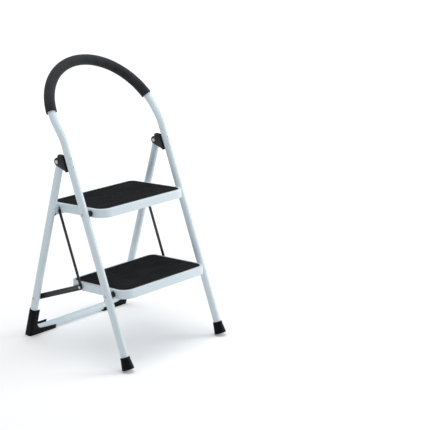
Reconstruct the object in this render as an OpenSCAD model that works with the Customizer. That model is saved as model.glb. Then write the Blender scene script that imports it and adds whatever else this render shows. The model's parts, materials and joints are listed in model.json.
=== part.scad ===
// Folding two-tread step stool with a hooped hand grip.
//
// Frames used below (millimetres):
//   world  : +X right seen from the front, +Y to the rear, +Z up, floor at Z = 0
//   front  : origin between the two front soles, Y square to the front legs, Z along them
//   rear   : origin on the main hinge axis, Z up along the rear legs
//   tread  : origin on a tread's own hinge axis, Y along the tread, Z square to it

/* [Frame tube] */
// Outside diameter of both bent tubes
tube_d = 25; // [20:0.5:30]
// Wall of both bent tubes
tube_wall = 1.2; // [1:0.1:2.5]
// Distance between the centre lines of the two legs of a frame
leg_spacing = 430; // [355:5:520]

/* [Front frame] */
// Lean of the front legs from the vertical, degrees
front_lean = 21.3; // [16:0.1:26]
// Straight length of a front leg, from the sole to the upper bend
front_straight = 724; // [704:1:870]
// Radius of the bend that turns the hoop to the rear
hoop_bend_r = 168; // [120:1:220]
// Angle of that bend, degrees
hoop_bend = 16.9; // [5:0.1:25]
// Straight length between that bend and the hoop
hoop_straight = 18; // [5:1:60]

/* [Foam grip] */
// Thickness of the foam sleeve
foam_wall = 5.2; // [3:0.1:8]
// Angle of bare hoop left at each end of the foam sleeve, degrees
foam_start = 13.5; // [5:0.5:40]

/* [Front feet] */
// Rubber round the tube at a front foot's mouth
foot_wall = 3.25; // [2:0.25:6]
// How much wider the sole is than the mouth, all round
foot_flare = 4; // [0:0.25:8]
// Height of a front foot
foot_h = 40; // [25:1:55]
// Rubber under the end of the tube
foot_floor = 6; // [3:0.5:12]

/* [Main hinge] */
// Distance of the main hinge behind the front legs' centre line
hinge_back = 42.5; // [38:0.1:60]
// Distance of the main hinge from the soles, along the front legs
hinge_up = 685; // [640:1:700]
// Opening angle between the front and the rear legs, degrees
opening = 37.9; // [34:0.1:42]
// Diameter of the main hinge pins
hinge_pin_d = 8; // [6:0.5:10]
// Radius of a bracket's cheeks round the hinge pin
cheek_r = 12.5; // [11:0.5:18]
// Thickness of a bracket's cheek
cheek_t = 3; // [2:0.5:5]
// Reach of a bracket below the hinge pin, along the front leg
cheek_drop = 41; // [30:1:60]
// Distances of the two bracket rivets below the hinge pin
bracket_rivet_drops = [3.5, 32.5];

/* [Rear frame] */
// Length of the rear legs above the hinge pin
rear_top = 13; // [10:1:20]
// Bend radius at the bottom corners of the rear frame
rear_bend_r = 50; // [40:1:110]
// Diameter of the rear cross bar
bar_d = 14; // [10:0.5:16]
// Distance of the cross bar behind the rear legs' centre line
bar_back = 5; // [3:0.5:6]

/* [Rear feet] */
// Height of the tube's centre line above the sole, along the rear frame
rear_foot_lift = 17; // [14:0.5:24]
// Height of a rear foot, along the rear leg
rear_foot_h = 105; // [90:1:140]
// Length of a rear foot along the bottom of the rear frame
rear_foot_l = 118; // [100:1:160]
// Rubber outside the tube
rear_foot_wall = 2; // [1.5:0.5:6]
// Thickness of the cheeks in front of the tube and behind it
rear_foot_cheek = 2; // [2:0.5:5]

/* [Treads] */
// Distance of the upper tread's hinge from the soles, along the front legs
upper_up = 501.4; // [470:0.5:530]
// Distance of the lower tread's hinge from the soles, along the front legs
lower_up = 238.4; // [200:0.5:262]
// Angle between a tread and the square of the front legs, open, degrees
tread_open = 17.8; // [14:0.1:22]
// Angle that the treads turn through as the stool folds, degrees
tread_fold = 66.5; // [55:0.1:67]
// Distance of a tread's front edge ahead of its hinge
tread_front = 54; // [40:0.5:56]
// Distance of a tread's rear edge behind its hinge
tread_rear = 206.5; // [170:0.5:208]
// Room between a tread's side and a leg, for the linkage
tread_gap = 12.5; // [12:0.5:20]
// Height of a tread's top above its hinge axis
tread_top = 15; // [12:0.5:20]
// Overall depth of a tread's rolled edge
tread_depth = 27.5; // [24:0.5:40]
// Sheet thickness of a tread
tread_t = 1.2; // [0.8:0.1:2.5]
// Radius of a tread's front corners
corner_front = 42; // [20:1:60]
// Radius of a tread's rear corners
corner_rear = 28; // [16:1:50]
// Width of the bare rim round a tread's mat
rim_w = 10; // [6:0.5:16]
// Thickness of a mat
mat_t = 2.5; // [1.5:0.1:4]
// Height of a mat above the rim
mat_proud = 0.5; // [0:0.1:1]

/* [Linkage] */
// Distance from a tread's hinge to its strut rivet, along the tread
strut_reach = 149.4; // [130:0.1:165]
// Distance of the strut rivets below the hinge axis
strut_drop = 1; // [0:0.1:3]
// Width of a strut
strut_w = 10.5; // [8:0.5:11]
// Width of a folding link
link_w = 18; // [12:0.5:22]
// Thickness of the struts and folding links
bar_t = 3; // [2:0.5:4]
// Diameter of the tread hinge pins
tread_pin_d = 8; // [6:0.5:9]
// Diameter of the linkage rivets
rivet_d = 6; // [4:0.5:7]

/* [Locking clip] */
// Width of the locking clip
clip_w = 27; // [16:1:40]
// Reach of the clip's thumb tab behind the upper tread
clip_tab = 20; // [10:1:30]

/* [Hidden] */
$fn = 64;

// Clearances
run_gap = 0.05;   // radial, pin in a bore that turns on it
side_gap = 0.4;   // between parts that swing past each other
seat_gap = 0.05;  // moulding on a tube
over = 1;         // how far a cutting tool runs past a face

// Tube and leg lines
tube_r = tube_d / 2;
bore_r = tube_r - tube_wall;
half_span = leg_spacing / 2;
leg_inner = half_span - tube_r;
leg_outer = half_span + tube_r;

// A point turned about the X axis, as [along Y, along Z]
function turned(p, a) = [p[0] * cos(a) - p[1] * sin(a), p[0] * sin(a) + p[1] * cos(a)];

// Front frame to world
sole_r = tube_r + foot_wall + foot_flare;
sole_lift = sole_r * sin(front_lean);
rear_lean = opening - front_lean;
hinge_world = turned([hinge_back, hinge_up], -front_lean);
rear_leg = (hinge_world[1] + sole_lift) / cos(rear_lean);
rear_thick = tube_d + 2 * rear_foot_cheek;
y_front = -sole_r * cos(front_lean);
y_rear = hinge_world[0] + rear_leg * sin(rear_lean) + rear_thick / 2 / cos(rear_lean);
y_shift = -(y_front + y_rear) / 2;

// Rear frame
bar_r = bar_d / 2;
bottom_z = -(rear_leg - rear_foot_lift);
bracket_half = tube_r + side_gap + cheek_t;

// Treads
skirt = tread_depth - tread_top;
half_tread = leg_inner - tread_gap;
recess = mat_t - mat_proud;
mat_seat = tread_top - recess;
ceiling = mat_seat - tread_t;

// Cross bar: just under the upper tread's skirt
bar_drop = skirt + bar_r + side_gap / 2;
hinge_in_tread = turned([hinge_back, hinge_up - upper_up], -tread_open);
bar_turn = opening - tread_open;
bar_down = (hinge_in_tread[1] + bar_back * sin(bar_turn) + bar_drop) / cos(bar_turn);
bar_in_tread = hinge_in_tread + turned([bar_back, -bar_down], bar_turn);

// Strut rivets, in the front frame
rivet_open = turned([strut_reach, -strut_drop], tread_open);
rivet_folded = turned([strut_reach, -strut_drop], tread_open + tread_fold);
strut_len = upper_up - lower_up;

// Folding link: its anchor on the rear leg is where one length fits both the open and the folded stool
hinge_at = [hinge_back, hinge_up - lower_up];
from_open = hinge_at - rivet_open;
from_folded = hinge_at - rivet_folded;
leg_open = [sin(opening), -cos(opening)];
leg_folded = [0, -1];
link_anchor = (from_folded * from_folded - from_open * from_open)
    / (2 * (from_open * leg_open - from_folded * leg_folded));
anchor_open = hinge_at + link_anchor * leg_open;
link_line = rivet_open - anchor_open;
link_len = norm(link_line);
link_angle = atan2(link_line[1], link_line[0]);

// Planes of the linkage, as distances from the middle of the stool
rivet_r = rivet_d / 2;
head_t = 1.6;
head_r = rivet_r + 2;
strut_in = half_tread + side_gap;
strut_out = strut_in + bar_t;
link_in = strut_out + head_t + side_gap;
link_out = link_in + bar_t;
pin_head_t = 2;
pin_head_r = tread_pin_d / 2 + 2.5;
spacer_r = 9.5;

white = [0.88, 0.92, 0.94];
charcoal = [0.16, 0.17, 0.18];
black = [0.07, 0.08, 0.09];
silver = [0.78, 0.79, 0.8];

// ---- Placing ----

module in_front() {
  translate([0, y_shift, sole_lift]) rotate([-front_lean, 0, 0]) children();
}

module in_rear() {
  in_front() translate([0, hinge_back, hinge_up]) rotate([opening, 0, 0]) children();
}

module in_tread(up) {
  in_front() translate([0, 0, up]) rotate([tread_open, 0, 0]) children();
}

// side is -1 for left, 1 for right
module on_side(side) {
  scale_x = side < 0 ? 1 : 0;
  mirror([scale_x, 0, 0]) children();
}

// A cylinder along X from x0 to x1
module rod(x0, x1, r) {
  translate([x0, 0, 0]) rotate([0, 90, 0]) cylinder(r = r, h = x1 - x0);
}

// Cuts what it holds to sit on a leg's tube; the leg stands at x = half_span, along Z
module seated() {
  difference() {
    children();
    translate([half_span, 0, -2 * tube_d]) cylinder(r = tube_r, h = 4 * tube_d);
  }
}

// ---- Front frame ----

// Solid that follows the front tube's centre line; extend lengthens both lower ends
module front_path(r, extend = 0) {
  end_y = hoop_bend_r * (1 - cos(hoop_bend));
  end_z = front_straight + hoop_bend_r * sin(hoop_bend);
  for (side = [-1, 1]) {
    translate([side * half_span, 0, foot_floor - extend])
      cylinder(r = r, h = front_straight - foot_floor + extend);
    translate([side * half_span, hoop_bend_r, front_straight]) rotate([90, 0, -90])
      rotate_extrude(angle = hoop_bend) translate([hoop_bend_r, 0]) circle(r = r);
    translate([side * half_span, end_y, end_z]) rotate([-hoop_bend, 0, 0])
      cylinder(r = r, h = hoop_straight);
  }
  in_hoop() rotate_extrude(angle = 180) translate([half_span, 0]) circle(r = r);
}

// Hoop plane: X across, Y up the hoop
module in_hoop() {
  centre_y = hoop_bend_r * (1 - cos(hoop_bend)) + hoop_straight * sin(hoop_bend);
  centre_z = front_straight + hoop_bend_r * sin(hoop_bend) + hoop_straight * cos(hoop_bend);
  translate([0, centre_y, centre_z]) rotate([90 - hoop_bend, 0, 0]) children();
}

module front_frame() {
  color(white) in_front() difference() {
    front_path(tube_r);
    front_path(bore_r, over);
    for (up = [upper_up, lower_up])
      translate([0, 0, up]) rod(-leg_outer - over, leg_outer + over, tread_pin_d / 2);
    for (side = [-1, 1])
      translate([side * half_span, 0, 0]) bracket_rivet_lines(rivet_r - 1, over);
  }
}

module foam_grip() {
  color(charcoal) in_front() in_hoop() rotate([0, 0, foam_start])
    rotate_extrude(angle = 180 - 2 * foam_start) translate([half_span, 0]) difference() {
      circle(r = tube_r + foam_wall);
      circle(r = tube_r + seat_gap);
    }
}

module front_foot(side) {
  color(black) in_front() translate([side * half_span, 0, 0]) difference() {
    cylinder(r1 = sole_r, r2 = tube_r + foot_wall, h = foot_h);
    translate([0, 0, foot_floor]) cylinder(r = tube_r + seat_gap, h = foot_h);
  }
}

// ---- Main hinge ----

// Outline of a cheek, seen along X: a round eye at the pin and a straight flank down to the tip
module cheek_outline() {
  root_y = tube_r - 2;
  tip = [root_y - hinge_back, -cheek_drop];
  tip_angle = atan2(tip[1], tip[0]);
  touch = tip_angle + acos(cheek_r / norm(tip));
  circle(r = cheek_r);
  polygon([
    tip,
    [root_y - hinge_back, cheek_r],
    [0, cheek_r],
    [0, 0],
    cheek_r * [cos(touch), sin(touch)]
  ]);
}

module bracket_rivet_lines(r, extra = 0) {
  for (drop = bracket_rivet_drops)
    translate([0, -tube_r - extra, hinge_up - drop]) rotate([-90, 0, 0])
      cylinder(r = r, h = tube_d + bracket_web + extra);
}

bracket_web = 3;

module hinge_bracket(side) {
  color(black) in_front() translate([side * half_span, 0, 0]) difference() {
    union() {
      for (cheek = [-bracket_half, bracket_half - cheek_t])
        translate([cheek, hinge_back, hinge_up]) rotate([90, 0, 90])
          linear_extrude(cheek_t) cheek_outline();
      translate([-bracket_half, tube_r - 2, hinge_up - cheek_drop])
        cube([2 * bracket_half, bracket_web + 2, cheek_drop + cheek_r]);
    }
    translate([0, 0, hinge_up - cheek_drop - over])
      cylinder(r = tube_r + seat_gap, h = cheek_drop + cheek_r + 2 * over);
    translate([0, hinge_back, hinge_up])
      rod(-bracket_half - over, bracket_half + over, hinge_pin_d / 2 + run_gap);
    bracket_rivet_lines(rivet_r - 1, over);
  }
}

module bracket_rivets() {
  color(silver) in_front() for (side = [-1, 1], drop = bracket_rivet_drops)
    translate([side * half_span, 0, hinge_up - drop]) {
      difference() {
        translate([0, -tube_r - 1.2, 0]) rotate([-90, 0, 0]) cylinder(r1 = rivet_r - 0.6, r2 = rivet_r + 0.2, h = 2);
        translate([0, 0, -tube_r]) cylinder(r = tube_r, h = tube_d);
      }
      translate([0, -tube_r - 1, 0]) rotate([-90, 0, 0])
        cylinder(r = rivet_r - 1 - seat_gap, h = tube_d + bracket_web + 1);
    }
}

module hinge_pin(side) {
  head = hinge_pin_d / 2 + 2.5;
  color(silver) in_front() translate([side * half_span, hinge_back, hinge_up]) {
    rod(-bracket_half, bracket_half, hinge_pin_d / 2);
    rod(bracket_half, bracket_half + pin_head_t, head);
    rod(-bracket_half - pin_head_t, -bracket_half, head);
  }
}

// ---- Tread hinges ----

module spacer(side, up) {
  color(black) in_front() translate([0, 0, up]) on_side(side) difference() {
    rod(half_tread + side_gap, half_span - 5, spacer_r);
    translate([half_span, 0, -spacer_r - over]) cylinder(r = tube_r + seat_gap, h = 2 * (spacer_r + over));
    rod(half_tread, half_span, tread_pin_d / 2 + run_gap);
  }
}

module tread_pins(up) {
  pin_in = half_tread - tread_t - side_gap;
  color(silver) in_front() translate([0, 0, up]) for (side = [-1, 1]) on_side(side) {
    rod(pin_in, leg_outer + over, tread_pin_d / 2);
    rod(pin_in - pin_head_t, pin_in, pin_head_r);
    seated() rod(leg_outer - 2, leg_outer + pin_head_t, tread_pin_d / 2 + 1);
  }
}

// ---- Rear frame ----

// Solid that follows the rear tube's centre line; extend lengthens both upper ends
module rear_path(r, extend = 0) {
  straight = rear_top - bottom_z - rear_bend_r;
  for (side = [-1, 1]) on_side(side) {
    translate([half_span, 0, rear_top - straight]) cylinder(r = r, h = straight + extend);
    translate([half_span - rear_bend_r, 0, bottom_z + rear_bend_r]) rotate([90, 0, 0])
      rotate([0, 0, -90]) rotate_extrude(angle = 90) translate([rear_bend_r, 0]) circle(r = r);
  }
  translate([0, 0, bottom_z]) rod(rear_bend_r - half_span, half_span - rear_bend_r, r);
}

module rear_frame() {
  color(white) in_rear() difference() {
    rear_path(tube_r);
    rear_path(bore_r, over);
    rod(-leg_outer - over, leg_outer + over, hinge_pin_d / 2 + run_gap);
    translate([0, 0, -link_anchor]) rod(-leg_outer - over, leg_outer + over, rivet_r);
  }
}

module rear_leg_lines(r) {
  for (side = [-1, 1])
    translate([side * half_span, -bar_back, -2 * bar_r - over]) cylinder(r = r, h = 4 * bar_r + 2 * over);
}

module rear_cross_bar() {
  color(white) in_rear() translate([0, bar_back, -bar_down]) difference() {
    rod(-half_span, half_span, bar_r);
    rear_leg_lines(tube_r);
    rod(-half_span - over, half_span + over, bar_r - tube_wall);
  }
}

module cross_bar_collars() {
  collar_l = 5;
  color(black) in_rear() translate([0, bar_back, -bar_down]) for (side = [-1, 1]) on_side(side) difference() {
    rod(leg_inner - collar_l, half_span - tube_r / 2, bar_r + 2);
    rod(leg_inner - collar_l - over, half_span, bar_r + seat_gap);
    rear_leg_lines(tube_r + seat_gap);
  }
}

module rear_cap(side) {
  rim_r = tube_r + side_gap / 2;
  plug_l = rear_top - hinge_pin_d / 2 - 1.5;
  color(black) in_rear() translate([side * half_span, 0, rear_top]) {
    translate([0, 0, -plug_l]) cylinder(r = bore_r - seat_gap, h = plug_l);
    cylinder(r = rim_r, h = 3.5);
    translate([0, 0, 3.5]) cylinder(r1 = rim_r, r2 = rim_r - 3, h = 2.5);
  }
}

// Rear foot outlines start from the outer lower corner: X to the middle of the stool, Y up the leg
foot_below = tube_d;   // how far the outlines run below the sole, to be cut at the floor
foot_lip = 1;          // rubber on the inner side of the leg
scoop_r = 30;          // hollow between the leg and the toe, in front
scoop_step = 6;        // height of the hollow's lowest point above the toe's tip
toe_h = 18.5;          // height of the toe's tip, in front
cheek_show = 2;        // how far the rear cheek stands inside the bend
cheek_reach = 30;      // how far it runs along the bottom tube past the bend
foot_taper = 6;        // how far the outer side draws in at the sole
foot_taper_h = 65;     // height at which that starts

module rear_foot_taper() {
  polygon([
    [-over, foot_taper_h],
    [0, foot_taper_h],
    [foot_taper, 0],
    [foot_taper, -foot_below - over],
    [-over, -foot_below - over]
  ]);
}

// Front half: a low toe in front of the bottom tube
module rear_foot_front() {
  edge = rear_foot_wall + tube_d + foot_lip;
  dip = toe_h + scoop_step;
  difference() {
    union() {
      translate([0, -foot_below]) square([edge, rear_foot_h + foot_below]);
      translate([0, -foot_below]) square([edge + scoop_r, dip + scoop_r + foot_below]);
      polygon([[0, -foot_below], [rear_foot_l, -foot_below], [rear_foot_l, toe_h], [edge + scoop_r, dip], [0, dip]]);
    }
    translate([edge + scoop_r, dip + scoop_r]) circle(r = scoop_r);
    translate([edge, dip + scoop_r]) square([rear_foot_l, rear_foot_h]);
    rear_foot_taper();
  }
}

// Rear half: it stands just inside the tube's bend
module rear_foot_back() {
  edge = rear_foot_wall + tube_d + foot_lip;
  inner_r = rear_bend_r - tube_r - cheek_show;
  centre = [tube_r + rear_foot_wall + rear_bend_r, rear_foot_lift + rear_bend_r];
  difference() {
    union() {
      translate([0, -foot_below]) square([edge, rear_foot_h + foot_below]);
      translate([0, -foot_below]) square([centre[0] + cheek_reach, centre[1] + foot_below]);
    }
    translate(centre) circle(r = inner_r);
    translate([edge, centre[1]]) square([rear_foot_l, rear_foot_h]);
    translate([centre[0], centre[1] - inner_r]) square([rear_foot_l, rear_foot_h]);
    rear_foot_taper();
  }
}

module rear_foot(side) {
  outer = half_span + tube_r + rear_foot_wall;
  half_thick = rear_thick / 2;
  color(black) difference() {
    in_rear() on_side(side) difference() {
      intersection() {
        translate([outer, 0, -rear_leg]) rotate([90, 0, 0]) mirror([1, 0, 0]) {
          linear_extrude(half_thick) rear_foot_front();
          translate([0, 0, -half_thick]) linear_extrude(half_thick) rear_foot_back();
        }
        rear_foot_round();
      }
      rear_path(tube_r + seat_gap, rear_foot_h);
      rear_foot_mouth();
    }
    translate([-leg_spacing, -leg_spacing, -leg_spacing]) cube([2 * leg_spacing, 4 * leg_spacing, leg_spacing]);
  }
}

// Rounds a rear foot's outer side, all the way up
module rear_foot_round() {
  translate([half_span, 0, -rear_leg - 3 * tube_d]) linear_extrude(rear_foot_h + 4 * tube_d) {
    circle(r = tube_r + rear_foot_wall);
    translate([-half_span, -tube_d]) square([half_span, 2 * tube_d]);
  }
}

// Space inside the bend, between the foot's two cheeks
module rear_foot_mouth() {
  centre_z = bottom_z + rear_bend_r;
  translate([0, tube_r, 0]) rotate([90, 0, 0]) linear_extrude(tube_d) {
    translate([half_span - rear_bend_r, centre_z]) circle(r = rear_bend_r);
    translate([0, bottom_z]) square([half_span - rear_bend_r, rear_foot_h]);
    translate([0, centre_z]) square([half_span, rear_foot_h]);
  }
}

module link_pin(side) {
  color(silver) in_rear() translate([0, 0, -link_anchor]) on_side(side) {
    rod(link_in - side_gap, leg_outer + 0.5, rivet_r);
    seated() rod(link_out + side_gap, leg_inner + 2, head_r);
    rod(link_in - side_gap - head_t, link_in - side_gap, head_r);
    seated() rod(leg_outer - 2, leg_outer + 1.5, head_r - 0.5);
  }
}

// ---- Treads ----

// Tread outline brought in by inset on every side
module tread_outline(inset = 0) {
  half = half_tread - inset;
  front = inset - tread_front;
  rear = tread_rear - inset;
  rf = corner_front - inset;
  rr = corner_rear - inset;
  translate([-half, front + rf]) square([2 * half, rear - front - rf - rr]);
  translate([rf - half, front]) square([2 * (half - rf), rf + 1]);
  translate([rr - half, rear - rr - 1]) square([2 * (half - rr), rr + 1]);
  for (side = [-1, 1]) {
    translate([side * (half - rf), front + rf]) circle(r = rf);
    translate([side * (half - rr), rear - rr]) circle(r = rr);
  }
}

module tread(up) {
  color(white) in_tread(up) difference() {
    translate([0, 0, -skirt]) linear_extrude(tread_depth) tread_outline();
    translate([0, 0, -skirt - over]) linear_extrude(ceiling + skirt + over) tread_outline(tread_t);
    translate([0, 0, mat_seat]) linear_extrude(recess + over) tread_outline(rim_w);
    rod(-half_tread - over, half_tread + over, tread_pin_d / 2 + run_gap);
    translate([0, strut_reach, -strut_drop]) rod(-half_tread - over, half_tread + over, rivet_r);
    if (up == upper_up) clip_rivet_lines(rivet_r - 1);
  }
}

module mat(up) {
  color(charcoal) in_tread(up) translate([0, 0, mat_seat])
    linear_extrude(mat_t) tread_outline(rim_w + 0.2);
}

// Folded stiffener spot-welded under a tread
module rib(up) {
  rib_l = 2 * half_tread - 60;
  rib_w = 30;
  rib_h = 12;
  rib_y = (tread_rear - tread_front) / 2 - 8;
  color(white) in_tread(up) translate([-rib_l / 2, rib_y - rib_w / 2, ceiling - rib_h]) difference() {
    cube([rib_l, rib_w, rib_h]);
    translate([-over, tread_t, tread_t]) cube([rib_l + 2 * over, rib_w - 2 * tread_t, rib_h]);
  }
}

module strut_rivets(up) {
  color(silver) in_tread(up) translate([0, strut_reach, -strut_drop]) for (side = [-1, 1]) on_side(side) {
    rod(half_tread - tread_t, strut_out + side_gap / 2, rivet_r);
    rod(half_tread - tread_t - head_t, half_tread - tread_t, head_r);
    rod(strut_out + side_gap / 2, strut_out + head_t, head_r);
  }
}

// ---- Struts and folding links ----

// A flat bar with round ends and a pressed groove, along +Z from the origin, outer face towards +X
module pressed_bar(length, width, x0) {
  groove = width * 0.36;
  end = width * 0.95;
  difference() {
    union() {
      translate([x0, -width / 2, 0]) cube([bar_t, width, length]);
      for (z = [0, length]) translate([0, 0, z]) rod(x0, x0 + bar_t, width / 2);
    }
    for (z = [0, length]) translate([0, 0, z]) rod(x0 - over, x0 + bar_t + over, rivet_r + run_gap);
    translate([x0 + bar_t - 0.8, -groove / 2, end]) cube([over + 0.8, groove, length - 2 * end]);
  }
}

module strut(side) {
  color(black) in_front() translate([0, rivet_open[0], lower_up + rivet_open[1]]) on_side(side)
    pressed_bar(strut_len, strut_w, strut_in);
}

module in_link() {
  in_front() translate([0, anchor_open[0], lower_up + anchor_open[1]])
    rotate([link_angle - 90, 0, 0]) children();
}

module link(side) {
  color(black) in_link() on_side(side) pressed_bar(link_len, link_w, link_in);
}

module link_rivet(side) {
  color(silver) in_link() translate([0, 0, link_len]) on_side(side) {
    rod(link_in, link_out + 0.2, rivet_r + run_gap);
    rod(link_out, link_out + head_t, head_r);
  }
}

// ---- Locking clip ----

clip_pad = 6;
clip_roof = 5;
clip_wall = 4.5;
clip_tab_t = 4;

module clip_rivet_lines(r) {
  for (x = [-clip_w / 4, clip_w / 4])
    translate([x, tread_rear - clip_pad, 0]) rotate([-90, 0, 0]) cylinder(r = r, h = clip_pad + over);
}

module locking_clip() {
  bar_y = bar_in_tread[0];
  bar_z = bar_in_tread[1];
  grip_r = bar_r + side_gap;
  flange_in = tread_rear - tread_t;
  roof_z = bar_z + bar_r + side_gap;
  tab_z = -skirt - side_gap - clip_tab_t;
  color(black) in_tread(upper_up) difference() {
    rotate([90, 0, 90]) translate([0, 0, -clip_w / 2]) linear_extrude(clip_w) {
      translate([bar_y - grip_r - 2, bar_z]) square([grip_r + 2, grip_r + clip_roof]);
      translate([bar_y, roof_z - 2]) square([flange_in - bar_y, clip_roof]);
      translate([bar_y, bar_z - grip_r]) square([grip_r + clip_wall, 2 * grip_r]);
      translate([flange_in - clip_pad, tab_z]) square([clip_pad, ceiling - 2 - tab_z]);
      translate([bar_y, tab_z]) square([tread_rear + clip_tab - bar_y, clip_tab_t]);
    }
    translate([0, bar_y, bar_z]) rod(-clip_w, clip_w, grip_r);
    translate([-clip_w, bar_y - 3 * grip_r, bar_z - 3 * grip_r]) cube([2 * clip_w, 3 * grip_r, 3 * grip_r]);
    translate([clip_w / 6, tread_rear + clip_tab - 9, tab_z - over]) cylinder(r = 3.2, h = clip_tab_t + 2 * over);
    clip_rivet_lines(rivet_r - 1);
  }
}

module clip_rivets() {
  color(silver) in_tread(upper_up) {
    clip_rivet_lines(rivet_r - 1);
    for (x = [-clip_w / 4, clip_w / 4])
      translate([x, tread_rear, 0]) rotate([-90, 0, 0]) cylinder(r1 = rivet_r + 0.5, r2 = rivet_r - 0.5, h = 1.4);
  }
}

// ---- Nodes ----

front_frame();
foam_grip();
front_foot(-1);  // left_front_foot
front_foot(1);  // right_front_foot
hinge_bracket(-1);  // left_hinge_bracket
hinge_bracket(1);  // right_hinge_bracket
bracket_rivets();
hinge_pin(-1);  // left_hinge_pin
hinge_pin(1);  // right_hinge_pin
spacer(-1, upper_up);  // upper_left_spacer
spacer(1, upper_up);  // upper_right_spacer
spacer(-1, lower_up);  // lower_left_spacer
spacer(1, lower_up);  // lower_right_spacer
tread_pins(upper_up);  // upper_tread_pins
tread_pins(lower_up);  // lower_tread_pins
rear_frame();
rear_cross_bar();
cross_bar_collars();
rear_foot(-1);  // left_rear_foot
rear_foot(1);  // right_rear_foot
rear_cap(-1);  // left_rear_cap
rear_cap(1);  // right_rear_cap
link_pin(-1);  // left_link_pin
link_pin(1);  // right_link_pin
tread(upper_up);  // upper_tread
mat(upper_up);  // upper_mat
rib(upper_up);  // upper_rib
strut_rivets(upper_up);  // upper_strut_rivets
locking_clip();
clip_rivets();
tread(lower_up);  // lower_tread
mat(lower_up);  // lower_mat
rib(lower_up);  // lower_rib
strut_rivets(lower_up);  // lower_strut_rivets
strut(-1);  // left_strut
strut(1);  // right_strut
link(-1);  // left_link
link_rivet(-1);  // left_link_rivet
link(1);  // right_link
link_rivet(1);  // right_link_rivet
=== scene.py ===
"""The finished looks of a folding two-tread step stool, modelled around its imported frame."""

from __future__ import annotations

import json
import logging
import math
from contextlib import contextmanager
from dataclasses import dataclass
from enum import Enum
from typing import Callable, Iterator, Sequence

import bmesh
import bpy
from mathutils import Matrix, Vector

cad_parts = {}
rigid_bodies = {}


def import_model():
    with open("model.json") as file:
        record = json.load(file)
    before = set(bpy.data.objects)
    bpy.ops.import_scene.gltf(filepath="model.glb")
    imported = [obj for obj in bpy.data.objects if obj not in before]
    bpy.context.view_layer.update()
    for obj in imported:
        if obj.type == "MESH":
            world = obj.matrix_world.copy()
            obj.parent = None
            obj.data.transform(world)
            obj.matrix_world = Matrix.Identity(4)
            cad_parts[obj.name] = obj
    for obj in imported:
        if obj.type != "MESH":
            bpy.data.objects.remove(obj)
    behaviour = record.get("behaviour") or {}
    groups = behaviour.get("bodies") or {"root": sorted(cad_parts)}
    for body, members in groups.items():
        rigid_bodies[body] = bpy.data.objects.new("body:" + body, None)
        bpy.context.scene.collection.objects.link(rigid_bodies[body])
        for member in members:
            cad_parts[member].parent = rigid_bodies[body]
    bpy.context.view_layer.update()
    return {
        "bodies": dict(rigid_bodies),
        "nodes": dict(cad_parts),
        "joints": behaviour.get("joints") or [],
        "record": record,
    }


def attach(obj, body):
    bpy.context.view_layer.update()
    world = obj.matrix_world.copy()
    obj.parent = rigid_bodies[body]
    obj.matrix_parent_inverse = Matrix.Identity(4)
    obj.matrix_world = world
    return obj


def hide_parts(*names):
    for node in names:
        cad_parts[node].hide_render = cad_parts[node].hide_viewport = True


LOG = logging.getLogger("step_stool")
MM = 0.001

Face = bmesh.types.BMFace
Edge = bmesh.types.BMEdge


def hex_to_linear(code: str) -> tuple[float, float, float, float]:
    """Turns an sRGB hex colour into the linear colour that a shader reads.

    Args:
        code: Six hex digits with a leading hash.

    Returns:
        Linear red, green and blue, and an alpha of one.
    """
    parts = [int(code[i : i + 2], 16) / 255 for i in (1, 3, 5)]
    linear = [c / 12.92 if c <= 0.04045 else ((c + 0.055) / 1.055) ** 2.4 for c in parts]
    return (linear[0], linear[1], linear[2], 1.0)


def per_mm(size: float) -> float:
    """Gives the texture scale whose features are size millimetres across."""
    return 1 / (size * MM)


def add_node(
    tree: bpy.types.NodeTree,
    kind: str,
    sockets: dict[str | int, object] | None = None,
    **settings: object,
) -> bpy.types.Node:
    """Adds a shader node with its settings, socket values and links.

    Args:
        tree: The node tree that takes the node.
        kind: The node's type name.
        sockets: Input sockets by name or number, each given a value or another node's output.
        **settings: The node's own properties.

    Returns:
        The new node.
    """
    node = tree.nodes.new(kind)
    for key, value in settings.items():
        setattr(node, key, value)
    for key, value in (sockets or {}).items():
        if isinstance(value, bpy.types.NodeSocket):
            tree.links.new(value, node.inputs[key])
        else:
            node.inputs[key].default_value = value
    return node


def noise(
    tree: bpy.types.NodeTree, place: bpy.types.NodeSocket, size: float, detail: float
) -> bpy.types.Node:
    """Adds a noise texture.

    Args:
        tree: The node tree that takes it.
        place: The coordinates that it is read at.
        size: The size of its features, in millimetres.
        detail: How much finer noise is laid over it.

    Returns:
        The texture's node.
    """
    sockets = {"Vector": place, "Scale": per_mm(size), "Detail": detail}
    return add_node(tree, "ShaderNodeTexNoise", sockets)


def blend(
    tree: bpy.types.NodeTree, factor: bpy.types.NodeSocket, first: str, second: str
) -> bpy.types.NodeSocket:
    """Adds a blend of two colours.

    Args:
        tree: The node tree that takes it.
        factor: The output that says how much of the second colour is mixed in.
        first: The first colour's sRGB hex code.
        second: The second colour's sRGB hex code.

    Returns:
        The blended colour's output.
    """
    sockets = {"Factor": factor, 6: hex_to_linear(first), 7: hex_to_linear(second)}
    return add_node(tree, "ShaderNodeMix", sockets, data_type="RGBA").outputs[2]


def bumped(
    tree: bpy.types.NodeTree,
    height: bpy.types.NodeSocket,
    strength: float,
    depth: float,
) -> bpy.types.Node:
    """Adds a bump.

    Args:
        tree: The node tree that takes it.
        height: The output that gives the relief.
        strength: How strongly it shows.
        depth: The relief's depth, in millimetres.

    Returns:
        The bump's node.
    """
    sockets = {"Height": height, "Strength": strength, "Distance": depth * MM}
    return add_node(tree, "ShaderNodeBump", sockets)


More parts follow.
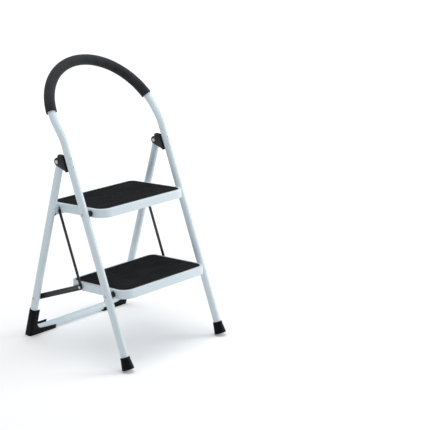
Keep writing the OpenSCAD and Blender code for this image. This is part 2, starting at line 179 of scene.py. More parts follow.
def blank_material(
    name: str,
) -> tuple[bpy.types.Material, bpy.types.NodeTree, bpy.types.NodeSocket]:
    """Starts a node material.

    Args:
        name: The material's name.

    Returns:
        The material, its empty node tree, and the Object coordinates' socket.
    """
    material = bpy.data.materials.new(name)
    material.use_nodes = True
    tree = material.node_tree
    tree.nodes.clear()
    place = add_node(tree, "ShaderNodeTexCoord").outputs["Object"]
    return material, tree, place


def close_material(
    tree: bpy.types.NodeTree, colour: object, roughness: object, normal: object, **sockets: object
) -> None:
    """Ends a material with its surface shader.

    Args:
        tree: The material's node tree.
        colour: The base colour, or the output that gives it.
        roughness: The roughness, or the output that gives it.
        normal: The output that gives the bumped normal.
        **sockets: Further shader sockets, with underscores for spaces.
    """
    values: dict[str | int, object] = {
        "Base Color": colour,
        "Roughness": roughness,
        "Normal": normal,
    }
    values.update({key.replace("_", " "): value for key, value in sockets.items()})
    shader = add_node(tree, "ShaderNodeBsdfPrincipled", values)
    add_node(tree, "ShaderNodeOutputMaterial", {"Surface": shader.outputs["BSDF"]})


@dataclass(frozen=True)
class PowderCoat:
    """Polyester powder coat baked on mild steel: an even, cool white film with a faint peel."""

    name: str = "powder_coat_cool_white"
    light: str = "#D3DEE4"
    shade: str = "#CAD7DE"
    roughness: float = 0.4
    peel_mm: float = 3.0
    peel_depth_mm: float = 0.012
    drift_mm: float = 90.0

    def build(self) -> bpy.types.Material:
        """Makes the material."""
        material, tree, place = blank_material(self.name)
        drift = noise(tree, place, self.drift_mm, 2.0)
        colour = blend(tree, drift.outputs["Fac"], self.light, self.shade)
        gloss = add_node(
            tree,
            "ShaderNodeMapRange",
            {
                "Value": drift.outputs["Fac"],
                "To Min": self.roughness - 0.05,
                "To Max": self.roughness + 0.08,
            },
        )
        # The peel is the film's own flow marks, about a hundredth of a millimetre deep.
        peel = noise(tree, place, self.peel_mm, 1.5)
        bump = bumped(tree, peel.outputs["Fac"], 0.35, self.peel_depth_mm)
        close_material(
            tree, colour, gloss.outputs["Result"], bump.outputs["Normal"], Coat_Weight=0.15
        )
        return material


@dataclass(frozen=True)
class TreadRubber:
    """Calendered rubber sheet: near black, dull, with fine grain and rubbed streaks."""

    name: str = "calendered_tread_rubber"
    dark: str = "#090A0C"
    rubbed: str = "#101115"
    roughness: float = 0.58
    grain_mm: float = 0.9
    streak_mm: tuple[float, float] = (120.0, 9.0)

    def build(self) -> bpy.types.Material:
        """Makes the material."""
        material, tree, place = blank_material(self.name)
        along, across = self.streak_mm
        stretched = add_node(
            tree,
            "ShaderNodeMapping",
            {"Vector": place, "Scale": (per_mm(along), per_mm(across), per_mm(across))},
            vector_type="POINT",
        )
        streaks = add_node(
            tree,
            "ShaderNodeTexNoise",
            {"Vector": stretched.outputs["Vector"], "Scale": 1.0, "Detail": 4.0},
        )
        patches = noise(tree, place, 70.0, 3.0)
        both = add_node(
            tree,
            "ShaderNodeMath",
            {0: streaks.outputs["Fac"], 1: patches.outputs["Fac"]},
            operation="MULTIPLY",
        )
        worn = add_node(
            tree,
            "ShaderNodeMapRange",
            {"Value": both.outputs["Value"], "From Min": 0.15, "From Max": 0.45},
        )
        colour = blend(tree, worn.outputs["Result"], self.dark, self.rubbed)
        gloss = add_node(
            tree,
            "ShaderNodeMapRange",
            {
                "Value": worn.outputs["Result"],
                "To Min": self.roughness + 0.08,
                "To Max": self.roughness - 0.06,
            },
        )
        # Rubber grain is about a tenth of a millimetre: it is drawn coarser, so that it shows.
        grain = noise(tree, place, self.grain_mm, 3.0)
        bump = bumped(tree, grain.outputs["Fac"], 0.5, 0.12)
        close_material(
            tree, colour, gloss.outputs["Result"], bump.outputs["Normal"], Specular_IOR_Level=0.12
        )
        return material


@dataclass(frozen=True)
class SleeveFoam:
    """Closed-cell nitrile foam sleeve: charcoal skin pitted by the cells, with a dusty sheen and
    painted shade in the pits.
    """

    name: str = "nitrile_sleeve_foam"
    # The darker colour is painted shade for the cell hollows.
    pit_shade: str = "#131417"
    skin: str = "#26282C"
    roughness: float = 0.86
    cell_mm: float = 1.6
    swell_mm: float = 26.0

    def build(self) -> bpy.types.Material:
        """Makes the material."""
        material, tree, place = blank_material(self.name)
        # Real cells are a few tenths of a millimetre: they are drawn coarser, so that they show.
        cells = add_node(
            tree, "ShaderNodeTexVoronoi", {"Vector": place, "Scale": per_mm(self.cell_mm)}
        )
        swell = noise(tree, place, self.swell_mm, 4.0)
        depth = add_node(
            tree,
            "ShaderNodeMapRange",
            {"Value": cells.outputs["Distance"], "From Min": 0.05, "From Max": 0.6},
        )
        # Painted shade: the cell hollows come out darker, and the colour also follows the swell,
        # lighter where the swell rises.
        shade = add_node(
            tree,
            "ShaderNodeMath",
            {0: depth.outputs["Result"], 1: 0.35, 2: swell.outputs["Fac"]},
            operation="MULTIPLY_ADD",
        )
        level = add_node(
            tree,
            "ShaderNodeMapRange",
            {"Value": shade.outputs["Value"], "From Min": 0.35, "From Max": 0.95},
        )
        colour = blend(tree, level.outputs["Result"], self.pit_shade, self.skin)
        pits = bumped(tree, depth.outputs["Result"], 0.6, 0.25)
        bump = add_node(
            tree,
            "ShaderNodeBump",
            {
                "Height": swell.outputs["Fac"],
                "Strength": 0.5,
                "Distance": 1.2 * MM,
                "Normal": pits.outputs["Normal"],
            },
        )
        close_material(
            tree,
            colour,
            self.roughness,
            bump.outputs["Normal"],
            Sheen_Weight=0.08,
            Specular_IOR_Level=0.25,
        )
        return material


@dataclass(frozen=True)
class MouldedBlack:
    """A black moulding: its tool leaves a fine even grain, and flow marks shift its gloss."""

    name: str
    dark: str
    light: str
    roughness: float
    grain_mm: float
    grain_depth_mm: float
    coat: float = 0.0
    specular: float = 0.3

    def build(self) -> bpy.types.Material:
        """Makes the material."""
        material, tree, place = blank_material(self.name)
        flow = noise(tree, place, 22.0, 3.0)
        colour = blend(tree, flow.outputs["Fac"], self.dark, self.light)
        gloss = add_node(
            tree,
            "ShaderNodeMapRange",
            {
                "Value": flow.outputs["Fac"],
                "To Min": self.roughness - 0.06,
                "To Max": self.roughness + 0.1,
            },
        )
        grain = noise(tree, place, self.grain_mm, 2.0)
        bump = bumped(tree, grain.outputs["Fac"], 0.4, self.grain_depth_mm)
        close_material(
            tree,
            colour,
            gloss.outputs["Result"],
            bump.outputs["Normal"],
            Coat_Weight=self.coat,
            Specular_IOR_Level=self.specular,
        )
        return material


@dataclass(frozen=True)
class ZincPlate:
    """Bright zinc plate on steel rivets: a soft metal gloss, tiny tool marks and a faint haze."""

    name: str = "bright_zinc_plate"
    bright: str = "#C9CCD0"
    haze: str = "#9EA3A8"
    roughness: float = 0.3

    def build(self) -> bpy.types.Material:
        """Makes the material."""
        material, tree, place = blank_material(self.name)
        haze = noise(tree, place, 3.0, 4.0)
        colour = blend(tree, haze.outputs["Fac"], self.bright, self.haze)
        gloss = add_node(
            tree,
            "ShaderNodeMapRange",
            {
                "Value": haze.outputs["Fac"],
                "To Min": self.roughness - 0.08,
                "To Max": self.roughness + 0.12,
            },
        )
        marks = noise(tree, place, 0.7, 2.0)
        bump = bumped(tree, marks.outputs["Fac"], 0.25, 0.05)
        close_material(tree, colour, gloss.outputs["Result"], bump.outputs["Normal"], Metallic=1.0)
        return material


class Finish(Enum):
    """The stool's finishes, each keyed to one of the record's material slots."""

    WHITE_TUBE = ("white_tube", PowderCoat())
    WHITE_SHEET = ("white_sheet", PowderCoat(name="powder_coat_cool_white_sheet", drift_mm=140.0))
    GRIP_FOAM = ("grip_foam", SleeveFoam())
    TREAD_MAT = ("tread_mat", TreadRubber())
    FOOT_RUBBER = (
        "foot_rubber",
        MouldedBlack(
            name="moulded_foot_rubber",
            dark="#040506",
            light="#08090B",
            roughness=0.55,
            grain_mm=0.9,
            grain_depth_mm=0.06,
            specular=0.12,
        ),
    )
    BLACK_PLASTIC = (
        "black_plastic",
        MouldedBlack(
            name="moulded_black_polypropylene",
            dark="#080A0D",
            light="#10131A",
            roughness=0.42,
            grain_mm=0.8,
            grain_depth_mm=0.05,
            coat=0.05,
        ),
    )
    BLACK_STEEL = (
        "black_steel",
        MouldedBlack(
            name="black_enamelled_steel",
            dark="#08090B",
            light="#0E0F12",
            roughness=0.3,
            grain_mm=1.6,
            grain_depth_mm=0.02,
            coat=0.1,
        ),
    )
    BRIGHT_STEEL = ("bright_steel", ZincPlate())

    @classmethod
    def materials(cls) -> dict[str, bpy.types.Material]:
        """Makes every finish.

        Returns:
            The materials by material slot.
        """
        return {finish.value[0]: finish.value[1].build() for finish in cls}


class Bench:
    """Modelling steps shared by all the pieces."""

    @staticmethod
    def clear() -> None:
        """Leaves object mode ready, with nothing selected."""
        if bpy.context.object and bpy.context.object.mode != "OBJECT":
            bpy.ops.object.mode_set(mode="OBJECT")
        bpy.ops.object.select_all(action="DESELECT")

    @staticmethod
    @contextmanager
    def editing(mode: str = "FACE") -> Iterator[bmesh.types.BMesh]:
        """Opens the active piece for editing, with nothing selected.

        Args:
            mode: What is selected: FACE, EDGE or VERT.

        Yields:
            The piece's edit mesh.
        """
        bpy.ops.object.mode_set(mode="EDIT")
        bpy.ops.mesh.select_mode(type=mode)
        bpy.ops.mesh.select_all(action="DESELECT")
        yield bmesh.from_edit_mesh(bpy.context.object.data)
        bpy.ops.object.mode_set(mode="OBJECT")

    @staticmethod
    def pick_faces(test: Callable[[Face], bool]) -> None:
        """Selects only the faces that pass a test.

        Args:
            test: Says whether a face is wanted.
        """
        bpy.ops.mesh.select_all(action="DESELECT")
        mesh = bpy.context.object.data
        work = bmesh.from_edit_mesh(mesh)
        wanted = [f for f in work.faces if test(f)]
        for face in wanted:
            face.select_set(True)
        bmesh.update_edit_mesh(mesh)

    @staticmethod
    def pick_edges(test: Callable[[Edge], bool]) -> None:
        """Selects only the edges that pass a test.

        Args:
            test: Says whether an edge is wanted.
        """
        bpy.ops.mesh.select_all(action="DESELECT")
        mesh = bpy.context.object.data
        work = bmesh.from_edit_mesh(mesh)
        wanted = [e for e in work.edges if test(e)]
        for edge in wanted:
            edge.select_set(True)
        bmesh.update_edit_mesh(mesh)

    @staticmethod
    def modify(kind: str, **settings: object) -> None:
        """Adds a modifier to the active piece and applies it.

        Args:
            kind: The modifier's type.
            **settings: The modifier's properties.
        """
        modifier = bpy.context.object.modifiers.new(kind.lower(), kind)
        for key, value in settings.items():
            setattr(modifier, key, value)
        bpy.ops.object.modifier_apply(modifier=modifier.name)

    @staticmethod
    def settle(piece: bpy.types.Object, place: Matrix, smooth_degrees: float = 35.0) -> None:
        """Moves a piece to its place, puts the place into its mesh, and smooths its shading.

        Args:
            piece: The finished piece.
            place: Where the piece's own frame goes.
            smooth_degrees: Edges sharper than this stay crisp.
        """
        Bench.clear()
        piece.select_set(True)
        bpy.context.view_layer.objects.active = piece
        piece.matrix_world = place
        bpy.context.view_layer.update()
        bpy.ops.object.transform_apply(location=True, rotation=True, scale=True)
        bpy.ops.object.shade_smooth_by_angle(angle=math.radians(smooth_degrees))

    @staticmethod
    def ring_stack(
        name: str, rings: Sequence[tuple[float, float]], sides: int = 56
    ) -> bpy.types.Object:
        """Models a round piece up its own axis, ring by ring, closed at both ends.

        Args:
            name: The piece's name.
            rings: Height and radius of each ring, in metres, from the first end to the last.
            sides: How many sides each ring has.

        Returns:
            The piece.
        """
        Bench.clear()
        height, radius = rings[0]
        bpy.ops.mesh.primitive_circle_add(
            vertices=sides, radius=radius, fill_type="NGON", location=(0, 0, height)
        )
        piece = bpy.context.object
        piece.name = name
        bpy.ops.object.transform_apply(location=True)
        with Bench.editing():
            bpy.ops.mesh.select_all(action="SELECT")
            for next_height, next_radius in rings[1:]:
                bpy.ops.mesh.extrude_region_move(
                    TRANSFORM_OT_translate={"value": (0, 0, next_height - height)}
                )
                ratio = next_radius / radius
                bpy.ops.transform.resize(
                    value=(ratio, ratio, 1), center_override=(0, 0, next_height)
                )
                height, radius = next_height, next_radius
            bpy.ops.mesh.select_all(action="SELECT")
            bpy.ops.mesh.normals_make_consistent(inside=False)
        return piece


@dataclass
class Stool:
    """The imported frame, the main lines that the pieces are set out from, and the finishes."""

    frame: dict
    materials: dict[str, bpy.types.Material]
    lean: float = math.radians(21.3)
    tread_open: float = math.radians(17.8)
    half_span: float = 215 * MM
    hinge_back: float = 42.5 * MM
    hinge_up: float = 685 * MM

    def joint(self, name: str) -> Vector:
        """Gives a joint's place in the frame."""
        for joint in self.frame["joints"]:
            if joint["name"] == name:
                return Vector(joint["pos_m"])
        raise KeyError(name)

    def legs(self) -> Matrix:
        """Gives the front legs' frame: on the soles, Y square to the legs, Z along them."""
        turn = Matrix.Rotation(-self.lean, 4, "X")
        hinge = turn @ Vector((0, self.hinge_back, self.hinge_up))
        return Matrix.Translation(self.joint("rear_fold") - hinge) @ turn

    def tread(self, joint: str) -> Matrix:
        """Gives a tread's frame: on its hinge, Y along the tread, Z square to it."""
        turn = Matrix.Rotation(self.tread_open - self.lean, 4, "X")
        return Matrix.Translation(self.joint(joint)) @ turn

    def body_of(self, node: str) -> str:
        """Gives the body that a node belongs to."""
        bodies = self.frame["record"]["behaviour"]["bodies"]
        return next(body for body, nodes in bodies.items() if node in nodes)

    def slot_of(self, node: str) -> str:
        """Gives a node's material slot."""
        parts = self.frame["record"]["subparts"]
        return next(part["material_slot"] for part in parts if part["node"] == node)

    def dress(self, piece: bpy.types.Object, slot: str) -> None:
        """Gives a piece its finish.

        Args:
            piece: A new piece or a node.
            slot: The record's material slot.
        """
        if not piece.material_slots:
            piece.data.materials.append(self.materials[slot])
        for holder in piece.material_slots:
            holder.material = self.materials[slot]

    def stand_for(self, piece: bpy.types.Object, node: str) -> None:
        """Hands a finished piece over: it is dressed, rides with its body, and stands for a node.

        Args:
            piece: The finished piece.
            node: The node that it stands for.
        """
        slot = self.slot_of(node)
        self.dress(piece, slot)
        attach(piece, self.body_of(node))
        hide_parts(node)
        LOG.info("%s: %d faces, for %s", piece.name, len(piece.data.polygons), node)


@dataclass
class TreadPan:
    """A pressed sheet pan: rolled top edge, let-in floor for the mat, and a turned hem below."""

    half_width: float = 190 * MM
    front: float = -54 * MM
    rear: float = 206.5 * MM
    top: float = 15 * MM
    bottom: float = -12.5 * MM
    corner_front: float = 42 * MM
    corner_rear: float = 28 * MM
    roll: float = 3.2 * MM
    rim: float = 10 * MM
    recess: float = 2 * MM
    hem: float = 2.4 * MM
    sheet: float = 1.2 * MM
    seat_chamfer: float = 0.5 * MM
    seat_dip: float = 0.3 * MM

    def shell(self, name: str) -> bpy.types.Object:
        """Models the pan's skin in the tread's own frame.

        Args:
            name: The piece's name.

        Returns:
            The piece.
        """
        Bench.clear()
        middle = (self.front + self.rear) / 2
        centre = (0, middle, (self.top + self.bottom) / 2)
        size = (2 * self.half_width, self.rear - self.front, self.top - self.bottom)
        bpy.ops.mesh.primitive_cube_add(size=1, location=centre, scale=size)
        piece = bpy.context.object
        piece.name = name
        bpy.ops.object.transform_apply(location=True, rotation=True, scale=True)
        with Bench.editing("EDGE"):
            for ahead, radius in ((True, self.corner_front), (False, self.corner_rear)):
                Bench.pick_edges(
                    lambda e: abs(e.verts[0].co.z - e.verts[1].co.z) > self.roll
                    and (e.verts[0].co.y < middle) == ahead
                    and abs(e.verts[0].co.x - e.verts[1].co.x) < MM
                    and abs(e.verts[0].co.x) > self.half_width - MM
                    and min(abs(e.verts[0].co.y - end) for end in (self.front, self.rear)) < MM
                )
                bpy.ops.mesh.bevel(offset=radius, segments=12, affect="EDGES")
            bpy.ops.mesh.select_mode(type="FACE")
            Bench.pick_faces(lambda f: f.normal.z < -0.9)
            bpy.ops.mesh.delete(type="FACE")
            bpy.ops.mesh.select_mode(type="EDGE")
            Bench.pick_edges(
                lambda e: min(v.co.z for v in e.verts) > self.top - 0.01 * MM and not e.is_boundary
            )
            bpy.ops.mesh.bevel(offset=self.roll, segments=5, affect="EDGES")
            bpy.ops.mesh.select_mode(type="FACE")
            self.let_in_floor()
            self.turn_hem(middle)
        return piece

    def let_in_floor(self) -> None:
        """Presses the mat's seat into the top."""
        Bench.pick_faces(lambda f: f.normal.z > 0.999 and f.calc_area() > 0.01)
        slope = self.seat_dip
        bpy.ops.mesh.inset(thickness=self.rim - self.roll - self.seat_chamfer - slope)
        bpy.ops.mesh.inset(thickness=self.seat_chamfer, depth=-self.seat_dip)
        bpy.ops.mesh.inset(thickness=slope, depth=self.seat_dip - self.recess)

    def turn_hem(self, middle: float) -> None:
        """Turns the lower edge inwards.

        Args:
            middle: The pan's middle along the tread.
        """
        bpy.ops.mesh.select_mode(type="EDGE")
        half_length = (self.rear - self.front) / 2
        for step in (self.hem / 2, self.hem / 2):
            Bench.pick_edges(lambda e: e.is_boundary)
            bpy.ops.mesh.extrude_edges_move()
            bpy.ops.transform.resize(
                value=(1 - step / self.half_width, 1 - step / half_length, 1),
                center_override=(0, middle, 0),
            )

    def build(self, stool: Stool, node: str, joint: str) -> None:
        """Builds a pan and hands it over.

        Args:
            stool: The stool that it belongs to.
            node: The node that it stands for.
            joint: The tread's joint.
        """
        piece = self.shell(f"pressed_{node}")
        Bench.modify("SOLIDIFY", thickness=self.sheet, offset=-1.0, use_even_offset=True)
        Bench.settle(piece, stool.tread(joint))
        stool.stand_for(piece, node)


@dataclass
class TreadMat:
    """A moulded mat: a flat border round a field of low ribs that run across the tread."""

    half_width: float = 179.8 * MM
    front: float = -43.8 * MM
    rear: float = 196.3 * MM
    floor: float = 13 * MM
    top: float = 15.3 * MM
    corner_front: float = 32 * MM
    corner_rear: float = 18 * MM
    border: float = 6 * MM
    pitch: float = 4.4 * MM
    rib: float = 0.7 * MM

    def slab(self, name: str) -> bpy.types.Object:
        """Models the mat's slab with its rounded corners.

        Args:
            name: The piece's name.

        Returns:
            The piece.
        """
        Bench.clear()
        middle = (self.front + self.rear) / 2
        bpy.ops.mesh.primitive_plane_add(size=1, location=(0, middle, self.floor))
        piece = bpy.context.object
        piece.name = name
        piece.scale = (2 * self.half_width, self.rear - self.front, 1)
        bpy.ops.object.transform_apply(location=True, rotation=True, scale=True)
        with Bench.editing("VERT"):
            for ahead, radius in ((True, self.corner_front), (False, self.corner_rear)):
                bpy.ops.mesh.select_all(action="DESELECT")
                work = bmesh.from_edit_mesh(piece.data)
                edge = self.front if ahead else self.rear
                for vert in work.verts:
                    at_edge = abs(vert.co.y - edge) < 0.01 * MM
                    vert.select_set(at_edge and abs(vert.co.x) > self.half_width - MM)
                bmesh.update_edit_mesh(piece.data)
                bpy.ops.mesh.bevel(offset=radius, segments=10, affect="VERTICES")
            bpy.ops.mesh.select_mode(type="FACE")
            bpy.ops.mesh.select_all(action="SELECT")
            rise = (0, 0, self.top - self.floor)
            bpy.ops.mesh.extrude_region_move(TRANSFORM_OT_translate={"value": rise})
            bpy.ops.mesh.inset(thickness=0.5 * MM, depth=0.4 * MM)
            bpy.ops.mesh.inset(thickness=self.border)
            self.raise_ribs()
            bpy.ops.mesh.select_all(action="SELECT")
            bpy.ops.mesh.normals_make_consistent(inside=False)
        return piece

    def raise_ribs(self) -> None:
        """Cuts the field into strips across the tread, and raises every other one."""
        low, high = self.front + self.border, self.rear - self.border
        strip = self.pitch / 2

        def in_field(face: Face) -> bool:
            """Says whether a face is part of the field: a top face that spans the mat's middle."""
            middle = face.calc_center_median()
            reach = [v.co.x for v in face.verts]
            on_top = face.normal.z > 0.999 and middle.z > self.top
            return on_top and low < middle.y < high and min(reach) * max(reach) < 0

        def is_rib(face: Face) -> bool:
            """Says whether a face of the field is one of the strips that are raised."""
            return in_field(face) and int((face.calc_center_median().y - low) / strip) % 2 == 1

        for step in range(1, int((high - low) / strip) + 1):
            Bench.pick_faces(in_field)
            bpy.ops.mesh.bisect(plane_co=(0, low + step * strip, 0), plane_no=(0, 1, 0))
        Bench.pick_faces(is_rib)
        bpy.ops.mesh.inset(thickness=0.45 * MM, depth=self.rib, use_individual=True)

    def build(self, stool: Stool, node: str, joint: str) -> None:
        """Builds a mat and hands it over.

        Args:
            stool: The stool that it belongs to.
            node: The node that it stands for.
            joint: The tread's joint.
        """
        piece = self.slab(f"ribbed_{node}")
        Bench.settle(piece, stool.tread(joint))
        stool.stand_for(piece, node)


@dataclass
class GripSleeve:
    """The foam sleeve on the hoop: a soft tube with rounded ends and a slightly uneven skin."""

    hoop_radius: float = 215 * MM
    hoop_tilt: float = math.radians(16.9)
    bend_radius: float = 168 * MM
    straight: float = 724 * MM
    rise: float = 18 * MM
    bare: float = math.radians(13.5)
    radius: float = 17.5 * MM
    bore: float = 12.75 * MM
    end_round: float = 1.4 * MM
    lump_size: float = 24 * MM
    lump_height: float = 0.5 * MM

    def plane(self, stool: Stool) -> Matrix:
        """Gives the hoop's frame: X across, Y up the hoop, Z out of its plane."""
        sine, cosine = math.sin(self.hoop_tilt), math.cos(self.hoop_tilt)
        centre = Vector(
            (
                0,
                self.bend_radius * (1 - cosine) + self.rise * sine,
                self.straight + self.bend_radius * sine + self.rise * cosine,
            )
        )
        turn = Matrix.Rotation(math.pi / 2 - self.hoop_tilt, 4, "X")
        return stool.legs() @ Matrix.Translation(centre) @ turn

    def tube(self) -> bpy.types.Object:
        """Spins the sleeve's outer skin round the hoop's centre."""
        Bench.clear()
        start = Vector((math.cos(self.bare), math.sin(self.bare), 0)) * self.hoop_radius
        bpy.ops.mesh.primitive_circle_add(
            vertices=44, radius=self.radius, location=start, rotation=(math.pi / 2, 0, self.bare)
        )
        piece = bpy.context.object
        piece.name = "foam_sleeve"
        bpy.ops.object.transform_apply(location=True, rotation=True, scale=True)
        with Bench.editing("EDGE"):
            bpy.ops.mesh.select_all(action="SELECT")
            bpy.ops.mesh.spin(
                steps=150, angle=2 * self.bare - math.pi, center=(0, 0, 0), axis=(0, 0, 1)
            )
            bpy.ops.mesh.select_all(action="SELECT")
            bpy.ops.mesh.normals_make_consistent(inside=False)
        return piece

    def build(self, stool: Stool, node: str = "foam_grip") -> None:
        """Builds the sleeve and hands it over.

        Args:
            stool: The stool that it belongs to.
            node: The node that it stands for.
        """
        piece = self.tube()
        wall = self.radius - self.bore
        Bench.modify("SOLIDIFY", thickness=wall, offset=-1.0, use_even_offset=True)
        Bench.modify(
            "BEVEL",
            width=self.end_round,
            segments=3,
            limit_method="ANGLE",
            angle_limit=math.radians(50),
        )
        lumps = bpy.data.textures.new("foam_lumps", "CLOUDS")
        lumps.noise_scale = self.lump_size
        Bench.modify(
            "DISPLACE",
            texture=lumps,
            strength=self.lump_height,
            mid_level=0.5,
            texture_coords="LOCAL",
        )
        Bench.settle(piece, self.plane(stool), 60.0)
        stool.stand_for(piece, node)


@dataclass
class FrontFoot:
    """A tapered rubber foot: thick rolled sole edge, straight flank, and a lip round the tube."""

    sole: float = 19.75 * MM
    mouth: float = 15.4 * MM
    height: float = 40 * MM
    bore: float = 12.6 * MM

    def rings(self) -> list[tuple[float, float]]:
        """Gives the outline from the sole's middle, up the flank, and down into the mouth."""
        sole, mouth, top = self.sole, self.mouth, self.height
        return [
            (1.0 * MM, 3.5 * MM),
            (1.0 * MM, 9.0 * MM),
            (0.0, 9.6 * MM),
            (0.0, sole - 1.6 * MM),
            (0.4 * MM, sole - 0.6 * MM),
            (1.4 * MM, sole),
            (5.0 * MM, sole - 0.1 * MM),
            (6.2 * MM, sole - 0.6 * MM),
            (9.0 * MM, sole - 0.9 * MM),
            (top - 6 * MM, mouth + 0.1 * MM),
            (top - 3.4 * MM, mouth - 0.1 * MM),
            (top - 2.6 * MM, mouth + 0.5 * MM),
            (top - 0.9 * MM, mouth + 0.5 * MM),
            (top - 0.2 * MM, mouth + 0.1 * MM),
            (top, mouth - 0.7 * MM),
            (top - 0.1 * MM, self.bore + 0.2 * MM),
            (top - 5 * MM, self.bore),
        ]

    def build(self, stool: Stool, node: str, side: int) -> None:
        """Builds a foot and hands it over.

        Args:
            stool: The stool that it belongs to.
            node: The node that it stands for.
            side: -1 for left, 1 for right.
        """
        piece = Bench.ring_stack(f"tapered_{node}", self.rings())
        Bench.settle(piece, stool.legs() @ Matrix.Translation((side * stool.half_span, 0, 0)), 40.0)
        stool.stand_for(piece, node)


@dataclass
class SoftenedPart:
    """A moulding, pressing or rivet whose edges are eased, as a tool or a tumbler leaves them."""

    node: str
    ease: float
    segments: int = 3
    smooth_degrees: float = 40.0
    weld: float = 0.002 * MM
    flat_degrees: float = 0.6
    edge_degrees: float = 38.0

    def build(self, stool: Stool) -> None:
        """Copies the node's shape, eases its edges, and hands the copy over.

        Args:
            stool: The stool that it belongs to.
        """
        Bench.clear()
        source = stool.frame["nodes"][self.node]
        source.select_set(True)
        bpy.context.view_layer.objects.active = source
        bpy.ops.object.duplicate(linked=False)
        piece = bpy.context.object
        piece.name = f"eased_{self.node}"
        bpy.ops.mesh.customdata_custom_splitnormals_clear()
        with Bench.editing("VERT"):
            bpy.ops.mesh.select_all(action="SELECT")
            bpy.ops.mesh.remove_doubles(threshold=self.weld)
            bpy.ops.mesh.dissolve_limited(angle_limit=math.radians(self.flat_degrees))
            bpy.ops.mesh.normals_make_consistent(inside=False)
        Bench.modify(
            "BEVEL",
            width=self.ease,
            segments=self.segments,
            limit_method="ANGLE",
            angle_limit=math.radians(self.edge_degrees),
            use_clamp_overlap=True,
        )
        Bench.settle(piece, Matrix.Identity(4), self.smooth_degrees)
        stool.stand_for(piece, self.node)


@dataclass
class Studio:
    """The pale floor, the soft lights and the camera."""

    camera_at: tuple[float, float, float] = (-2.8329, -2.9756, 1.5775)
    azimuth: float = math.radians(-47.80)
    elevation: float = math.radians(15.79)
    lens_mm: float = 108.98
    glow_reach: tuple[float, float] = (0.6, 3.0)
    glow: tuple[float, float] = (0.16, 0.62)
    lamps_aim: tuple[float, float, float] = (0.0, 0.0, 0.45)
    floor_side: float = 30.0
    sensor_mm: float = 36.0
    world_colour: str = "#F9FBFF"
    world_strength: float = 0.5

    def floor(self) -> None:
        """Lays the floor, which glows more with distance, so that it stays as pale as paper."""
        Bench.clear()
        bpy.ops.mesh.primitive_plane_add(size=self.floor_side)
        floor = bpy.context.object
        floor.name = "studio_floor"
        material, tree, place = blank_material("studio_paper_sweep")
        away = add_node(tree, "ShaderNodeVectorMath", {"Vector": place}, operation="LENGTH")
        glow = add_node(
            tree,
            "ShaderNodeMapRange",
            {
                "Value": away.outputs["Value"],
                "From Min": self.glow_reach[0],
                "From Max": self.glow_reach[1],
                "To Min": self.glow[0],
                "To Max": self.glow[1],
            },
            interpolation_type="SMOOTHSTEP",
        )
        shader = add_node(
            tree,
            "ShaderNodeBsdfPrincipled",
            {
                "Base Color": hex_to_linear("#F2F2F2"),
                "Roughness": 0.9,
                "Specular IOR Level": 0.0,
                "Emission Color": (1, 1, 1, 1),
                "Emission Strength": glow.outputs["Result"],
            },
        )
        add_node(tree, "ShaderNodeOutputMaterial", {"Surface": shader.outputs["BSDF"]})
        floor.data.materials.append(material)

    def lamp(
        self, name: str, place: Sequence[float], size: float, power: float, colour: str
    ) -> None:
        """Hangs a soft square lamp that faces the stool.

        Args:
            name: The lamp's name.
            place: Where it hangs, in metres.
            size: Its side, in metres.
            power: Its power, in watts.
            colour: Its sRGB hex colour.
        """
        data = bpy.data.lights.new(name, "AREA")
        data.shape = "SQUARE"
        data.size = size
        data.energy = power
        data.color = hex_to_linear(colour)[:3]
        lamp = bpy.data.objects.new(name, data)
        bpy.context.scene.collection.objects.link(lamp)
        lamp.location = place
        aim = Vector(self.lamps_aim) - Vector(place)
        lamp.rotation_euler = aim.to_track_quat("-Z", "Y").to_euler()

    def build(self) -> None:
        """Sets the whole studio."""
        self.floor()
        self.lamp("overhead_softbox", (0.1, 0.1, 2.6), 1.8, 32, "#FFFFFF")
        self.lamp("right_softbox", (2.8, -1.8, 1.4), 1.6, 52, "#FFFEFC")
        scene = bpy.context.scene
        world = bpy.data.worlds.new("studio_white")
        world.use_nodes = True
        sky = world.node_tree.nodes["Background"]
        sky.inputs["Color"].default_value = hex_to_linear(self.world_colour)
        sky.inputs["Strength"].default_value = self.world_strength
        scene.world = world
        scene.view_settings.view_transform = "Standard"
        data = bpy.data.cameras.new("studio_camera")
        data.lens = self.lens_mm
        data.sensor_width = self.sensor_mm
        camera = bpy.data.objects.new("studio_camera", data)
        scene.collection.objects.link(camera)
        back = Vector(
            (
                math.sin(self.azimuth) * math.cos(self.elevation),
                -math.cos(self.azimuth) * math.cos(self.elevation),
                math.sin(self.elevation),
            )
        )
        camera.location = self.camera_at
        camera.rotation_euler = (-back).to_track_quat("-Z", "Y").to_euler()
        scene.camera = camera


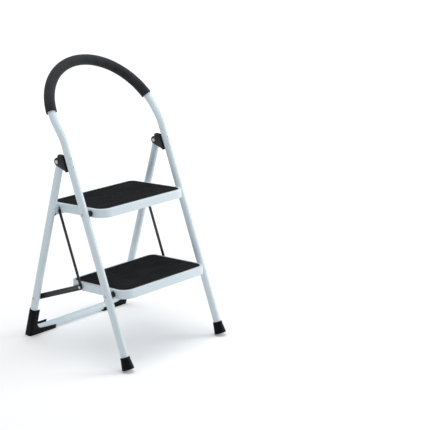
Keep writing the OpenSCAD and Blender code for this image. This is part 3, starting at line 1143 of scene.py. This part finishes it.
EASED = (
    SoftenedPart("left_hinge_bracket", 0.9 * MM),
    SoftenedPart("right_hinge_bracket", 0.9 * MM),
    SoftenedPart("left_rear_foot", 1.6 * MM),
    SoftenedPart("right_rear_foot", 1.6 * MM),
    SoftenedPart("left_rear_cap", 0.8 * MM),
    SoftenedPart("right_rear_cap", 0.8 * MM),
    SoftenedPart("upper_left_spacer", 0.6 * MM),
    SoftenedPart("upper_right_spacer", 0.6 * MM),
    SoftenedPart("lower_left_spacer", 0.6 * MM),
    SoftenedPart("lower_right_spacer", 0.6 * MM),
    SoftenedPart("cross_bar_collars", 0.6 * MM),
    SoftenedPart("locking_clip", 0.6 * MM),
    SoftenedPart("left_strut", 0.35 * MM, 2),
    SoftenedPart("right_strut", 0.35 * MM, 2),
    SoftenedPart("left_link", 0.35 * MM, 2),
    SoftenedPart("right_link", 0.35 * MM, 2),
    SoftenedPart("bracket_rivets", 0.5 * MM),
    SoftenedPart("left_hinge_pin", 0.8 * MM),
    SoftenedPart("right_hinge_pin", 0.8 * MM),
    SoftenedPart("upper_tread_pins", 0.8 * MM),
    SoftenedPart("lower_tread_pins", 0.8 * MM),
    SoftenedPart("left_link_pin", 0.6 * MM),
    SoftenedPart("right_link_pin", 0.6 * MM),
    SoftenedPart("upper_strut_rivets", 0.3 * MM),
    SoftenedPart("lower_strut_rivets", 0.3 * MM),
    SoftenedPart("left_link_rivet", 0.6 * MM),
    SoftenedPart("right_link_rivet", 0.6 * MM),
    SoftenedPart("clip_rivets", 0.4 * MM),
    SoftenedPart("upper_rib", 0.5 * MM, 2),
    SoftenedPart("lower_rib", 0.5 * MM, 2),
)


def main() -> None:
    """Builds every piece around the frame and sets the studio."""
    logging.basicConfig(level=logging.INFO, format="%(message)s")
    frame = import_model()
    stool = Stool(frame, Finish.materials())
    for node, piece in frame["nodes"].items():
        stool.dress(piece, stool.slot_of(node))
    for level in ("upper", "lower"):
        TreadPan().build(stool, f"{level}_tread", f"{level}_step_fold")
        TreadMat().build(stool, f"{level}_mat", f"{level}_step_fold")
    GripSleeve().build(stool)
    FrontFoot().build(stool, "left_front_foot", -1)
    FrontFoot().build(stool, "right_front_foot", 1)
    for part in EASED:
        part.build(stool)
    Studio().build()
    Bench.clear()


if __name__ == "__main__":
    main()
